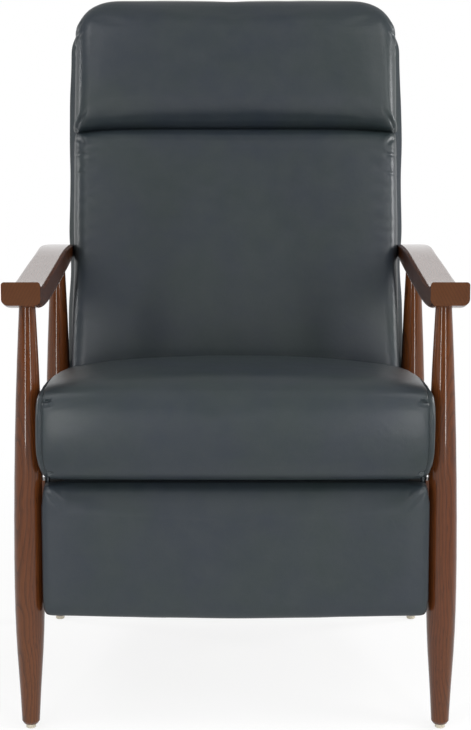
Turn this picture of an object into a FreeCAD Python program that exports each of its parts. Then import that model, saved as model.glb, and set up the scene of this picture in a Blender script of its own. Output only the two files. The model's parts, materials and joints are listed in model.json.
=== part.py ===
"""Push-back recliner armchair: a padded seat and a two-part back between bare hardwood arms.

Leaning back turns the back on its two hinge bolts.  A lug under each hinge pushes a rod, the rod
turns the rear crank of the footrest linkage, and the front panel swings out as a footrest.

Axes: X to the right, Y to the rear, Z up, as seen by someone who faces the chair.  "left" is -X.
The pieces are laid out with Y = 0 on the axis of the front legs, and moved at the end so that the
origin lies on the floor under the middle of the chair.  All lengths are in millimetres.
"""

import FreeCAD, Part
import math
import os

Vector = FreeCAD.Vector

# ---------------------------------------------------------------- driving dimensions
ORIGIN_Y = 334.1  # from the front leg axis back to the middle of the chair's depth

LEG_SPACING_Y = 491.0  # front leg axis to rear leg axis
LEG_FOOT_X = 303.0  # leg axis at the floor
LEG_TOP_X = 298.5  # leg axis under the arm
FRONT_LEG_TOP_Z = 637.0
REAR_LEG_TOP_Z = 624.0
LEG_MAX_R = 22.3
GLIDE_HEIGHT = 7.0
GLIDE_R = 7.4

ARM_INNER_X = 274.5
ARM_OUTER_X = 322.0
ARM_TIP_X = 330.0
ARM_FRONT_Y = -50.0
ARM_REAR_Y = 545.0

PANEL_OUTER_X = 276.0  # leather side panels of the seat box
FRAME_OUTER_X = 270.0  # plywood side frames
FRAME_INNER_X = 252.0
FRAME_BOTTOM_Z = 188.0
FRAME_RAIL_Z = 322.0
FRAME_TOP_Z = 392.0
FRAME_REAR_Y = 504.0
FRAME_FOOT = 36.0  # width of each foot of a side frame
LEG_FLAT_X = 280.5

CUSHION_HALF_X = 277.5
CUSHION_FRONT_Y = -72.0
CUSHION_LIP_Z = 390.5  # its front hangs this low

FOOTREST_HALF_X = 281.5
FOOTREST_BOTTOM_Z = 174.0
FOOTREST_TOP_Z = 377.0
FOOTREST_FRONT_Y = -39.0
PAD_THICKNESS = 24.7
BOARD_THICKNESS = 12.0

BACK_ANGLE = math.radians(17.0)  # the upright back leans this far from vertical
BACK_SEAM_X = 268.0  # side seams of the front panels
BACK_LOW_X = 277.0  # padded sides below the arms
BACK_HALF_X = 272.5  # between the arms
BACK_WIDE_X = 281.5  # above the arms
BACK_TOP_S = 757.0
BACK_FRONT_N = 38.0
BACK_REAR_N = -97.0
HEAD_SEAM_S = 517.0

# Steel linkage: plates 4 thick, in layers side by side with 1 between them.
STEEL = 4.0
PLATE_X = 248.0  # mechanism plate, against the side frame
CRANK_X = 243.0  # cranks, footrest brackets and back brackets
COUPLER_X = 238.0  # couplers and push rods
DRAG_X = 233.0  # drag links
PIN_R = 4.0
PIN_HOLE_R = 4.06
HEAD_R = 7.0
HEAD_THICKNESS = 2.0

CRANK_LENGTH = 196.0
CRANK_LEAN = math.radians(45.0)  # both cranks lean this far behind straight down
ROD_ARM = 34.0  # rear crank's pivot to the push rod's pin
LUG_ARM = 80.0  # back hinge to the push rod's pin
LUG_LEAN = math.radians(17.5)
DRAG_DROP = 42.0  # coupler pin to drag link pin, on the crank and on the footrest bracket


def at(y, z):
    """A point of the linkage, seen from the side."""
    return Vector(0, y, z)


HINGE = at(432.0, 330.0)
CRANK_PIVOT = at(140.0, 345.0)
FOOTREST_PIN = at(14.0, 345.0)
CRANK_END = CRANK_PIVOT + at(math.sin(CRANK_LEAN), -math.cos(CRANK_LEAN)) * CRANK_LENGTH
COUPLER_LINE = (FOOTREST_PIN - CRANK_END).normalize()
FRONT_PIVOT = CRANK_PIVOT + COUPLER_LINE * 72.0
FRONT_END = CRANK_END + COUPLER_LINE * 72.0
DRAG_REAR = CRANK_END - at(0, DRAG_DROP)
DRAG_FRONT = FOOTREST_PIN - at(0, DRAG_DROP)
ROD_FRONT = CRANK_PIVOT + at(math.sin(CRANK_LEAN), -math.cos(CRANK_LEAN)) * ROD_ARM
ROD_REAR = HINGE + at(math.sin(LUG_LEAN), -math.cos(LUG_LEAN)) * LUG_ARM

# ---------------------------------------------------------------- helpers
pieces = {}


def keep(name, *solids):
    """File the finished solids of one node."""
    pieces[name] = list(solids)


def keep_pair(name, *solids):
    """File right-hand solids, and their mirror images as the left-hand node."""
    keep("right_" + name, *solids)
    keep("left_" + name, *[mirrored(solid) for solid in solids])


def mirrored(solid):
    return solid.mirror(Vector(0, 0, 0), Vector(1, 0, 0))


def both(solids):
    """Right-hand solids together with their mirror images."""
    return list(solids) + [mirrored(solid) for solid in solids]


def block(x0, x1, y0, y1, z0, z1):
    return Part.makeBox(x1 - x0, y1 - y0, z1 - z0, Vector(x0, y0, z0))


def rounded_wire(corners, radius):
    """Closed flat outline through the corners, each rounded by an arc."""
    radii = radius if isinstance(radius, list) else [radius] * len(corners)
    arcs = []
    for i, corner in enumerate(corners):
        back = (corners[i - 1] - corner).normalize()
        ahead = (corners[(i + 1) % len(corners)] - corner).normalize()
        half = back.getAngle(ahead) / 2
        reach = radii[i] / math.tan(half)
        bisector = (back + ahead).normalize()
        middle = corner + bisector * (radii[i] / math.sin(half) - radii[i])
        arcs.append((corner + back * reach, middle, corner + ahead * reach))
    edges = []
    for i, (start, middle, end) in enumerate(arcs):
        if radii[i] > 0:
            edges.append(Part.Arc(start, middle, end).toShape())
        following = arcs[(i + 1) % len(arcs)][0]
        if (following - end).Length > 1e-6:
            edges.append(Part.makeLine(end, following))
    return Part.Wire(edges)


def side_plate(outline, x0, x1, radius=0.0):
    """Flat piece cut to a side-view outline of (y, z) corners."""
    corners = [Vector(x0, y, z) for y, z in outline]
    return Part.Face(rounded_wire(corners, radius)).extrude(Vector(x1 - x0, 0, 0))


def rod_x(point, radius, x0, x1):
    """Round bar along X through a side-view point."""
    return Part.makeCylinder(radius, x1 - x0, Vector(x0, point.y, point.z), Vector(1, 0, 0))


def strip(start, end, half_width, x0, x1):
    """Flat bar with round ends between two side-view points."""
    length = (end - start).Length
    bar = Part.makeBox(x1 - x0, length, 2 * half_width, Vector(0, 0, -half_width))
    angle = math.degrees(math.atan2(end.z - start.z, end.y - start.y))
    bar.rotate(Vector(0, 0, 0), Vector(1, 0, 0), angle)
    bar.translate(Vector(x0, start.y, start.z))
    return bar


def link(pins, half_width, eye_r, x0):
    """Steel link through its pins: flat bars joined by round eyes, with a hole at each pin."""
    x1 = x0 + STEEL
    body = rod_x(pins[0], eye_r, x0, x1)
    for start, end in zip(pins, pins[1:]):
        body = body.fuse([strip(start, end, half_width, x0, x1), rod_x(end, eye_r, x0, x1)])
    return body.removeSplitter()


def drill(solid, point, radius, x0, x1):
    return solid.cut(rod_x(point, radius, x0 - 1, x1 + 1))


def back_point(s, n, x=0.0):
    """Point of the back: s up along it from the hinge, n forward from the hinge line."""
    y = HINGE.y + s * math.sin(BACK_ANGLE) - n * math.cos(BACK_ANGLE)
    z = HINGE.z + s * math.cos(BACK_ANGLE) + n * math.sin(BACK_ANGLE)
    return Vector(x, y, z)


def back_side_plate(outline, x0, x1, radius=0.0):
    """Piece of the back cut to a side-view outline of (s, n) corners."""
    corners = [back_point(s, n, x0) for s, n in outline]
    return Part.Face(rounded_wire(corners, radius)).extrude(Vector(x1 - x0, 0, 0))


def back_front_plate(outline, n0, n1, radius=0.0):
    """Piece of the back cut to a front-view outline of (x, s) corners."""
    corners = [back_point(s, n0, x) for x, s in outline]
    forward = back_point(0, n1) - back_point(0, n0)
    return Part.Face(rounded_wire(corners, radius)).extrude(forward)


def softened(solid, radius, chosen):
    """Round the edges that the test picks."""
    return solid.makeFillet(radius, [edge for edge in solid.Edges if chosen(edge)])


def zigzag(runs, half_span, run_length, wire):
    """Outline of a flat sinuous spring, a wave of bent wire, as (along, across) pairs."""
    pitch = run_length / runs
    path = []
    for i in range(runs + 1):
        across = half_span if i % 2 == 0 else -half_span
        path.append((i * pitch, 0.0 if i == 0 else -across))
        path.append((i * pitch, 0.0 if i == runs else across))
    left = []
    right = []
    for i, (along, across) in enumerate(path):
        da = 0.0
        db = 0.0
        for start, end in ((i - 1, i), (i, i + 1)):
            if start >= 0 and end < len(path):
                run = (path[end][0] - path[start][0], path[end][1] - path[start][1])
                da -= math.copysign(wire / 2, run[1]) if run[1] else 0.0
                db += math.copysign(wire / 2, run[0]) if run[0] else 0.0
        left.append((along + da, across + db))
        right.append((along - da, across - db))
    return left + right[::-1]


# ---------------------------------------------------------------- turned legs and their glides
TURNING_STEP = 0.06  # the long curve of a leg is turned as tapers that leave it by less than this


def turned_leg(y, top_z):
    """One leg turned from a walnut square: slim at the top, fullest at mid height, slim foot."""
    stretch = top_z / FRONT_LEG_TOP_Z
    swell = [(13.1, 11), (14.6, 42), (19.7, 125), (LEG_MAX_R, 281), (17.6, 505), (11.6, FRONT_LEG_TOP_Z)]
    points = [Vector(r, 0, z * stretch) for r, z in swell]
    points[0] = Vector(13.1, 0, 11)
    curve = Part.BSplineCurve()
    curve.interpolate(points)
    tapers = curve.discretize(Deflection=TURNING_STEP)
    tenon_top = top_z + 12
    corners = [Vector(0, 0, GLIDE_HEIGHT), Vector(10.5, 0, GLIDE_HEIGHT), points[0]]
    after = [points[-1], Vector(8, 0, top_z), Vector(8, 0, tenon_top), Vector(0, 0, tenon_top), corners[0]]
    edges = [Part.makeLine(a, b) for a, b in zip(corners, corners[1:])]
    edges += [Part.makeLine(a, b) for a, b in zip(tapers, tapers[1:])]
    edges += [Part.makeLine(a, b) for a, b in zip(after, after[1:])]
    leg = Part.Face(Part.Wire(edges)).revolve(Vector(0, 0, 0), Vector(0, 0, 1), 360)
    splay = math.degrees(math.atan2(LEG_FOOT_X - LEG_TOP_X, FRONT_LEG_TOP_Z))
    leg.rotate(Vector(0, 0, 0), Vector(0, 1, 0), -splay)
    leg.translate(Vector(LEG_FOOT_X, y, 0))
    leg = leg.cut(block(LEG_FOOT_X - 30, LEG_FOOT_X + 30, y - 30, y + 30, -5, GLIDE_HEIGHT))
    return leg.cut(block(LEG_FLAT_X - 20, LEG_FLAT_X, y - 30, y + 30, 205, 385))


def glide(y):
    """Nylon glide nailed under a leg, with a chamfered rim."""
    foot = Part.makeCylinder(GLIDE_R, GLIDE_HEIGHT, Vector(LEG_FOOT_X, y, 0))
    return foot.makeChamfer(1.0, [foot.Edges[2]])


legs = {"front": turned_leg(0.0, FRONT_LEG_TOP_Z), "rear": turned_leg(LEG_SPACING_Y, REAR_LEG_TOP_Z)}
for place, leg in legs.items():
    keep_pair(place + "_leg", leg)
keep("leg_glides", *both([glide(0.0), glide(LEG_SPACING_Y)]))


# ---------------------------------------------------------------- arms
TIP_RISE = 16.0  # the tip curls up this much
TIP_FADE = 28.0  # over about this length
DROOP_START_Y = 330.0
ARM_DROOP = 15.0
ARM_TOP_Z = 660.0
ARM_UNDER_Z = 620.0
UNDER_RISE = 22.5  # the underside sweeps up to the tip
UNDER_FADE = 65.0  # over about this length
UNDER_LIFT = 3.0  # and a little at the rear end
REAR_CORNER_R = 26.0


def arm_section(y):
    """Rounded section across the arm: the inner side is straight, the outer side follows the plan."""
    curl = math.exp((ARM_FRONT_Y - y) / TIP_FADE)
    droop = max(0.0, (y - DROOP_START_Y) / (ARM_REAR_Y - DROOP_START_Y)) ** 2
    sweep = math.exp((ARM_FRONT_Y - y) / UNDER_FADE)
    top = ARM_TOP_Z + TIP_RISE * curl - ARM_DROOP * droop
    under = ARM_UNDER_Z + UNDER_RISE * sweep + UNDER_LIFT * droop
    narrowing = min(1.0, max(0.0, (y + 26.0) / 66.0))
    outer = ARM_TIP_X + (ARM_OUTER_X - ARM_TIP_X) * narrowing**2 * (3 - 2 * narrowing)
    past = y - (ARM_REAR_Y - REAR_CORNER_R)
    if past > 0:
        outer -= REAR_CORNER_R - math.sqrt(max(0.0, REAR_CORNER_R**2 - past**2))
    corners = [(ARM_INNER_X, under), (outer, under), (outer, top), (ARM_INNER_X, top)]
    return rounded_wire([Vector(x, y, z) for x, z in corners], [9.0, 9.5, 4.5, 4.5])


def arm():
    """Shaped arm: raised tip, level top, underside swept up to the tip, drooping rear with a rounded outer corner."""
    stations = [ARM_FRONT_Y + step for step in (0, 14, 34, 64, 110, 190, 300, 420)]
    arc_start = ARM_REAR_Y - REAR_CORNER_R
    stations += [arc_start + REAR_CORNER_R * math.sin(math.radians(a)) for a in (0, 24, 48, 70, 90)]
    return Part.makeLoft([arm_section(y) for y in stations], True, False)


arm_body = arm()
for leg in legs.values():
    arm_body = arm_body.cut(leg)
keep_pair("arm", arm_body)

# ---------------------------------------------------------------- seat box between the legs
frame_outline = [
    (0, FRAME_BOTTOM_Z),
    (FRAME_FOOT, FRAME_BOTTOM_Z),
    (FRAME_FOOT, FRAME_RAIL_Z),
    (FRAME_REAR_Y - FRAME_FOOT, FRAME_RAIL_Z),
    (FRAME_REAR_Y - FRAME_FOOT, FRAME_BOTTOM_Z),
    (FRAME_REAR_Y, FRAME_BOTTOM_Z),
    (FRAME_REAR_Y, FRAME_TOP_Z - 6),
    (FRAME_REAR_Y - 22, FRAME_TOP_Z),
    (0, FRAME_TOP_Z),
]
side_frame = side_plate(frame_outline, FRAME_INNER_X, FRAME_OUTER_X, [4, 4, 20, 20, 4, 4, 2, 2, 4])
panel_front_y = -4
panel_outline = [
    (panel_front_y, FRAME_BOTTOM_Z - 3),
    (FRAME_REAR_Y, FRAME_BOTTOM_Z - 3),
    (FRAME_REAR_Y, FRAME_TOP_Z - 6),
    (FRAME_REAR_Y - 22, FRAME_TOP_Z + 4),
    (panel_front_y, FRAME_TOP_Z + 4),
]
side_panel = side_plate(panel_outline, FRAME_OUTER_X, PANEL_OUTER_X, [6, 10, 10, 10, 6])
leg_bolt_ys = (6.0, LEG_SPACING_Y - 5.0)
leg_bolt_places = [(y, z) for y in leg_bolt_ys for z in (236.0, 300.0)]
LEG_BOLT_R = 4.0
leg_bolts = []
for y, z in leg_bolt_places:
    shank = rod_x(at(y, z), LEG_BOLT_R, FRAME_INNER_X, LEG_FLAT_X + 14)
    head = rod_x(at(y, z), 6.0, FRAME_INNER_X - 3.4, FRAME_INNER_X)
    leg_bolts.append(shank.fuse(head).removeSplitter())
spacers = []
for y in (0.0, LEG_SPACING_Y):
    spacers.append(block(PANEL_OUTER_X, LEG_FLAT_X, y - 8, y + 13 if y == 0 else y + 8, 212, 378))
for bolt in leg_bolts:
    side_frame = side_frame.cut(bolt)
    side_panel = side_panel.cut(bolt)
    spacers = [spacer.cut(bolt) for spacer in spacers]
    for name in ("front_leg", "rear_leg"):
        for side, tool in (("right_", bolt), ("left_", mirrored(bolt))):
            pieces[side + name] = [solid.cut(tool) for solid in pieces[side + name]]
keep("leg_bolts", *both(leg_bolts))
keep("leg_spacers", *both(spacers))
keep_pair("side_panel", side_panel)

# The front rail is deep between the links and shallow over them.
front_rail_z = 362.0
front_rail = block(-FRAME_INNER_X, FRAME_INNER_X, 4, 26, front_rail_z, FRAME_TOP_Z)
front_rail = front_rail.fuse(block(-222, 222, 4, 26, 338, front_rail_z)).removeSplitter()
rear_rail = block(-PLATE_X, PLATE_X, 352, 374, FRAME_RAIL_Z, FRAME_TOP_Z)
rail_screws = []
for y, z in ((15.0, 371.0), (15.0, 384.0), (363.0, 340.0), (363.0, 374.0)):
    inner = FRAME_INNER_X - 36
    rail_screws.append(rod_x(at(y, z), 2.5, inner, FRAME_OUTER_X))
for screw in both(rail_screws):
    front_rail = front_rail.cut(screw)
    rear_rail = rear_rail.cut(screw)
for screw in rail_screws:
    side_frame = side_frame.cut(screw)
keep("front_rail", front_rail)
keep("rear_rail", rear_rail)

# ---------------------------------------------------------------- seat springs, pad and cushion
SPRING_WIRE = 3.6
SPRING_Z = FRAME_TOP_Z + 0.5
SPRING_XS = [-184.0, -92.0, 0.0, 92.0, 184.0]
seat_springs = []
spring_clips = []
for x in SPRING_XS:
    run = zigzag(13, 19.0, 336.0, SPRING_WIRE)
    corners = [Vector(x + across, 21 + along, SPRING_Z) for along, across in run]
    seat_springs.append(Part.Face(Part.makePolygon(corners + corners[:1])).extrude(Vector(0, 0, SPRING_WIRE)))
    for y in (15.0, 363.0):
        clip = block(x - 11, x + 11, y - 5, y + 5, FRAME_TOP_Z, FRAME_TOP_Z + 5.2)
        spring_clips.append(clip)
for clip in spring_clips:
    seat_springs = [spring.cut(clip) for spring in seat_springs]
keep("seat_springs", *seat_springs)
keep("seat_spring_clips", *spring_clips)
keep("seat_spring_pad", block(-244, 244, 8, 384, FRAME_TOP_Z + 5.4, FRAME_TOP_Z + 8.4))


def seat_cushion():
    """Box cushion: high rolled front, top falling to the rear, rear face along the leaning back."""
    under = FRAME_TOP_Z + 8.6
    low_rear = back_point((under - HINGE.z - 11) / math.cos(BACK_ANGLE), BACK_FRONT_N + 2.5)
    high_rear = back_point(140, BACK_FRONT_N + 2.5)
    outline = [
        (-14, under),
        (-20, CUSHION_LIP_Z),
        (CUSHION_FRONT_Y + 8, CUSHION_LIP_Z),
        (CUSHION_FRONT_Y, 470),
        (-58, 541),
        (60, 549),
        (220, 522),
        (high_rear.y, high_rear.z),
        (low_rear.y, under),
    ]
    radii = [2.0, 4.0, 14.0, 60.0, 46.0, 120.0, 200.0, 14.0, 6.0]
    body = side_plate(outline, -CUSHION_HALF_X, CUSHION_HALF_X, radii)

    def side_edge(edge):
        return abs(edge.BoundBox.XMax - edge.BoundBox.XMin) < 1 and edge.BoundBox.ZMax > 440

    return softened(body, 16.0, side_edge)


keep("seat_cushion", seat_cushion())

# ---------------------------------------------------------------- steel mechanism plates
plate_outline = [
    (44, FRAME_TOP_Z - 3),
    (44, 366),
    (112, 322),
    (166, 322),
    (196, 346),
    (386, 346),
    (406, 310),
    (452, 310),
    (454, 344),
    (420, FRAME_TOP_Z - 3),
]
plate = side_plate(plate_outline, PLATE_X, PLATE_X + STEEL, [8, 14, 20, 14, 14, 14, 14, 16, 12, 10])
slot_height = 14.0
for y0, y1 in ((206.0, 262.0), (286.0, 342.0)):
    slot = strip(at(y0, 368), at(y1, 368), slot_height / 2, PLATE_X - 1, PLATE_X + STEEL + 1)
    ends = [rod_x(at(y, 368), slot_height / 2, PLATE_X - 1, PLATE_X + STEEL + 1) for y in (y0, y1)]
    plate = plate.cut(slot.fuse(ends))


def shouldered_bolt(point, inner_x, outer_x, head_r):
    """Pivot bolt through a plate, with its head on the inner side and its end let into the frame."""
    shank = rod_x(point, PIN_R, inner_x, outer_x)
    head = rod_x(point, head_r, inner_x - HEAD_THICKNESS, inner_x)
    return shank.fuse(head).removeSplitter()


pivot_bolts = []
for point in (CRANK_PIVOT, FRONT_PIVOT):
    pivot_bolts.append(shouldered_bolt(point, CRANK_X - 0.4, FRAME_INNER_X + 12, 8.0))
hinge_bolt = shouldered_bolt(HINGE, CRANK_X - 0.4, FRAME_INNER_X + 12, 9.0)
for bolt in pivot_bolts + [hinge_bolt]:
    plate = plate.cut(bolt)
    side_frame = side_frame.cut(bolt)
plate_screws = []
for y, z in ((96.0, 350.0), (274.0, 378.0), (274.0, 357.0), (412.0, 372.0)):
    screw = rod_x(at(y, z), 2.5, PLATE_X, PLATE_X + 18)
    head = Part.makeCone(4.6, 2.5, 2.4, Vector(PLATE_X, y, z), Vector(1, 0, 0))
    plate_screws.append(screw.fuse(head).removeSplitter())
for screw in plate_screws:
    side_frame = side_frame.cut(screw)
for screw in plate_screws + rail_screws:
    plate = plate.cut(screw)
keep_pair("side_frame", side_frame)
keep_pair("mechanism_plate", plate)
keep("linkage_pivot_bolts", *both(pivot_bolts))
keep("back_hinge_bolts", *both([hinge_bolt]))
keep("plate_screws", *both(plate_screws))
keep("rail_screws", *both(rail_screws))

# ---------------------------------------------------------------- footrest linkage
CRANK_HALF = 8.5
EYE_R = 11.0


def rivet(point, x0, x1, head_inside):
    """Shouldered rivet from one layer's outer face through the next, with a head on its far side."""
    shank = rod_x(point, PIN_R, x0, x1)
    if head_inside:
        head = rod_x(point, HEAD_R, x0 - HEAD_THICKNESS, x0)
    else:
        head = rod_x(point, HEAD_R, x1, x1 + HEAD_THICKNESS)
    return shank.fuse(head).removeSplitter()


# Rear crank: a bell crank.  Its tail past the coupler pin carries the drag link.
rear_crank = link([CRANK_PIVOT, CRANK_END, DRAG_REAR], CRANK_HALF, EYE_R, CRANK_X)
rod_eye = rod_x(ROD_FRONT, EYE_R, CRANK_X, CRANK_X + STEEL)
rear_crank = rear_crank.fuse(rod_eye).removeSplitter()
rear_crank = drill(rear_crank, CRANK_PIVOT, PIN_HOLE_R, CRANK_X, CRANK_X + STEEL)
tube_place = CRANK_PIVOT + (CRANK_END - CRANK_PIVOT) * (112.0 / CRANK_LENGTH)
crank_tube = rod_x(tube_place, 9.0, -CRANK_X, CRANK_X).cut(rod_x(tube_place, 7.2, -CRANK_X - 1, CRANK_X + 1))
crank_rivets = [rivet(CRANK_END, COUPLER_X - 0.4, CRANK_X + STEEL, True)]
spacer_sleeve = rod_x(DRAG_REAR, 6.0, DRAG_X + STEEL + 0.4, CRANK_X)
drag_rivet = rivet(DRAG_REAR, DRAG_X - 0.4, CRANK_X + STEEL, True)
crank_rivets.append(drag_rivet.fuse(spacer_sleeve).removeSplitter())
for pin in crank_rivets:
    rear_crank = rear_crank.cut(pin)
keep_pair("rear_crank", rear_crank)
keep("crank_torque_tube", crank_tube)
keep("crank_rivets", *both(crank_rivets))

# Front crank, parallel to the rear one.  Its lower end has a button over the coupler.
front_crank = link([FRONT_PIVOT, FRONT_END], 8.0, EYE_R - 0.5, CRANK_X)
front_crank = drill(front_crank, FRONT_PIVOT, PIN_HOLE_R, CRANK_X, CRANK_X + STEEL)
button = rod_x(FRONT_END, HEAD_R, CRANK_X + STEEL, CRANK_X + STEEL + HEAD_THICKNESS)
keep_pair("front_crank", front_crank.fuse(button).removeSplitter())

# Coupler: straight bar that both cranks carry forward without turning it.
coupler = link([CRANK_END, FRONT_END, FOOTREST_PIN], 10.0, EYE_R, COUPLER_X)
coupler = drill(coupler, CRANK_END, PIN_HOLE_R, COUPLER_X, COUPLER_X + STEEL)
coupler_button = rod_x(FRONT_END, HEAD_R, COUPLER_X - HEAD_THICKNESS, COUPLER_X)
coupler = coupler.fuse(coupler_button).removeSplitter()
coupler_rivet = rivet(FOOTREST_PIN, COUPLER_X, CRANK_X + STEEL + 0.4, False)
coupler = coupler.cut(coupler_rivet)
brace_place = CRANK_END + COUPLER_LINE * 164.0
brace_end = COUPLER_X
brace = rod_x(brace_place, 7.0, -brace_end, brace_end)
brace = brace.cut(rod_x(brace_place, 5.4, -brace_end - 1, brace_end + 1))
keep_pair("coupler_link", coupler)
keep("coupler_cross_tube", brace)
keep("coupler_rivets", *both([coupler_rivet]))

# Drag link: keeps the footrest bracket in step with the rear crank.
drag = link([DRAG_REAR, DRAG_FRONT], 8.0, 10.0, DRAG_X)
drag = drill(drag, DRAG_REAR, PIN_HOLE_R, DRAG_X, DRAG_X + STEEL)
drag_button = rod_x(DRAG_FRONT, HEAD_R, DRAG_X - HEAD_THICKNESS, DRAG_X)
keep_pair("drag_link", drag.fuse(drag_button).removeSplitter())

# Push rod from the back's lug to the rear crank.
push_rod = link([ROD_REAR, ROD_FRONT], 7.0, 10.0, COUPLER_X)
push_rod = drill(push_rod, ROD_REAR, PIN_HOLE_R, COUPLER_X, COUPLER_X + STEEL)
rod_button = rod_x(ROD_FRONT, HEAD_R, COUPLER_X - HEAD_THICKNESS, COUPLER_X)
keep_pair("push_rod", push_rod.fuse(rod_button).removeSplitter())

# ---------------------------------------------------------------- footrest
board_back_y = FOOTREST_FRONT_Y + PAD_THICKNESS + 0.3 + BOARD_THICKNESS
board_front_y = board_back_y - BOARD_THICKNESS
bracket_web = side_plate(
    [(board_back_y, 232), (board_back_y + 9, 232), (27, 292), (27, 358), (board_back_y, 358)],
    CRANK_X,
    CRANK_X + STEEL,
    [1, 4, 12, 12, 1],
)
bracket_flange = block(219, CRANK_X + STEEL, board_back_y, board_back_y + 3, 232, 358)
bracket = bracket_web.fuse(bracket_flange).removeSplitter()
bracket = drill(bracket, FOOTREST_PIN, PIN_HOLE_R, CRANK_X, CRANK_X + STEEL)
drag_boss = rod_x(DRAG_FRONT, 6.0, DRAG_X + STEEL + 0.4, CRANK_X)
bracket = bracket.fuse(drag_boss).removeSplitter()
board = block(-267, 267, board_front_y, board_back_y, 188, 364)


def board_corner(edge):
    return abs(edge.BoundBox.YMax - edge.BoundBox.YMin - BOARD_THICKNESS) < 0.01


board = softened(board, 18.0, board_corner)
bracket_screws = []
for z in (246.0, 274.0, 332.0):
    screw = Part.makeCylinder(2.2, BOARD_THICKNESS + 1, Vector(229, board_back_y + 3, z), Vector(0, -1, 0))
    head = Part.makeCylinder(4.2, 1.8, Vector(229, board_back_y + 3, z))
    head.rotate(Vector(229, board_back_y + 3, z), Vector(1, 0, 0), -90)
    bracket_screws.append(screw.fuse(head).removeSplitter())
for screw in both(bracket_screws):
    board = board.cut(screw)
for screw in bracket_screws:
    bracket = bracket.cut(screw)
keep_pair("footrest_bracket", bracket)
keep("footrest_board", board)
keep("bracket_screws", *both(bracket_screws))
pad = block(
    -FOOTREST_HALF_X,
    FOOTREST_HALF_X,
    FOOTREST_FRONT_Y,
    FOOTREST_FRONT_Y + PAD_THICKNESS,
    FOOTREST_BOTTOM_Z,
    FOOTREST_TOP_Z,
)
pad = softened(pad, 14.0, lambda edge: abs(edge.BoundBox.YMax - FOOTREST_FRONT_Y) < 0.01)
keep("footrest_pad", pad)
BUMPER_R = 8.0
bumper = Part.makeCylinder(BUMPER_R, 5.4, Vector(150, board_back_y, 350), Vector(0, 1, 0))
bumper = bumper.makeFillet(1.5, [edge for edge in bumper.Edges if edge.BoundBox.YMin > board_back_y + 5])
keep("footrest_bumpers", *both([bumper]))

# ---------------------------------------------------------------- back frame
POST_OUTER_X = CRANK_X
POST_INNER_X = CRANK_X - 22
post_outline = [(30, -70), (30, -10), (725, -14), (725, -58)]
post = back_side_plate(post_outline, POST_INNER_X, POST_OUTER_X, [4, 4, 8, 8])
bracket_outline = [
    (-84, 2),
    (-80, 22),
    (0, 19),
    (60, -11),
    (206, -16),
    (206, -44),
    (60, -40),
    (-4, -20),
    (-60, -14),
]
back_bracket = back_side_plate(bracket_outline, CRANK_X, CRANK_X + STEEL, [8, 8, 14, 20, 9, 9, 20, 14, 8])
back_bracket = back_bracket.fuse(rod_x(ROD_REAR, 12.0, CRANK_X, CRANK_X + STEEL)).removeSplitter()
back_bracket = drill(back_bracket, HINGE, PIN_HOLE_R, CRANK_X, CRANK_X + STEEL)
lug_rivet = rivet(ROD_REAR, COUPLER_X - 0.4, CRANK_X + STEEL, True)
back_bracket = back_bracket.cut(lug_rivet)
back_bolts = []
for s in (82.0, 134.0, 188.0):
    centre = back_point(s, -27)
    shank = rod_x(centre, 3.0, POST_INNER_X, CRANK_X + STEEL)
    head = rod_x(centre, 5.5, POST_INNER_X - 3, POST_INNER_X)
    back_bolts.append(shank.fuse(head).removeSplitter())
for bolt in back_bolts:
    back_bracket = back_bracket.cut(bolt)
    post = post.cut(bolt)
keep_pair("back_bracket", back_bracket)
keep("back_bracket_bolts", *both(back_bolts))
keep("lug_rivets", *both([lug_rivet]))


def cross_rail(s0, s1, n0, n1):
    """Rail of the back frame between the posts."""
    return back_side_plate([(s0, n0), (s0, n1), (s1, n1), (s1, n0)], -POST_INNER_X, POST_INNER_X, 3.0)


keep("back_bottom_rail", cross_rail(52, 104, -64, -42))
keep("back_middle_rail", cross_rail(492, 540, -58, -36))
keep("back_top_rail", cross_rail(680, 724, -56, -34))
keep_pair("back_post", post)
back_springs = []
for s in (180.0, 260.0, 340.0, 420.0):
    half_run = POST_INNER_X - SPRING_WIRE / 2 - 0.1
    run = zigzag(15, 20.0, 2 * half_run, SPRING_WIRE)
    corners = [back_point(s + across, -18, along - half_run) for along, across in run]
    forward = back_point(0, SPRING_WIRE) - back_point(0, 0)
    back_springs.append(Part.Face(Part.makePolygon(corners + corners[:1])).extrude(forward))
keep("back_springs", *back_springs)

# ---------------------------------------------------------------- back upholstery
# Padded boxing down each side: narrow between the arms, wider above them.
BOXING_INNER_X = CRANK_X + STEEL + 1
boxing_outline = [
    (BOXING_INNER_X, 108),
    (BACK_LOW_X, 108),
    (BACK_LOW_X, 262),
    (BACK_HALF_X, 292),
    (BACK_HALF_X, 392),
    (BACK_WIDE_X, 430),
    (BACK_WIDE_X, 665),
    (BACK_WIDE_X - 7, 704),
    (BACK_WIDE_X - 20, 726),
    (BOXING_INNER_X, 726),
]
boxing_radii = [2.0, 8.0, 40.0, 40.0, 40.0, 40.0, 60.0, 40.0, 8.0, 2.0]
boxing = back_front_plate(boxing_outline, BACK_REAR_N + 7, -8.5, boxing_radii)
keep_pair("back_boxing", boxing)

NECK_HALF_X = 234.0
outside_outline = [
    (NECK_HALF_X, -60),
    (NECK_HALF_X, 100),
    (BACK_LOW_X - 6, 112),
    (BACK_LOW_X - 6, 262),
    (BACK_HALF_X - 6, 292),
    (BACK_HALF_X - 6, 392),
    (BACK_WIDE_X - 6, 430),
    (BACK_WIDE_X - 6, BACK_TOP_S - 22),
]
outside_outline += [(-x, s) for x, s in reversed(outside_outline)]
outside_radii = [10.0, 4.0, 4.0, 40.0, 40.0, 40.0, 40.0, 56.0]
outside_radii = outside_radii + outside_radii[::-1]
outside_panel = back_front_plate(outside_outline, BACK_REAR_N, BACK_REAR_N + 6, outside_radii)
keep("outside_back_panel", outside_panel)


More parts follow.
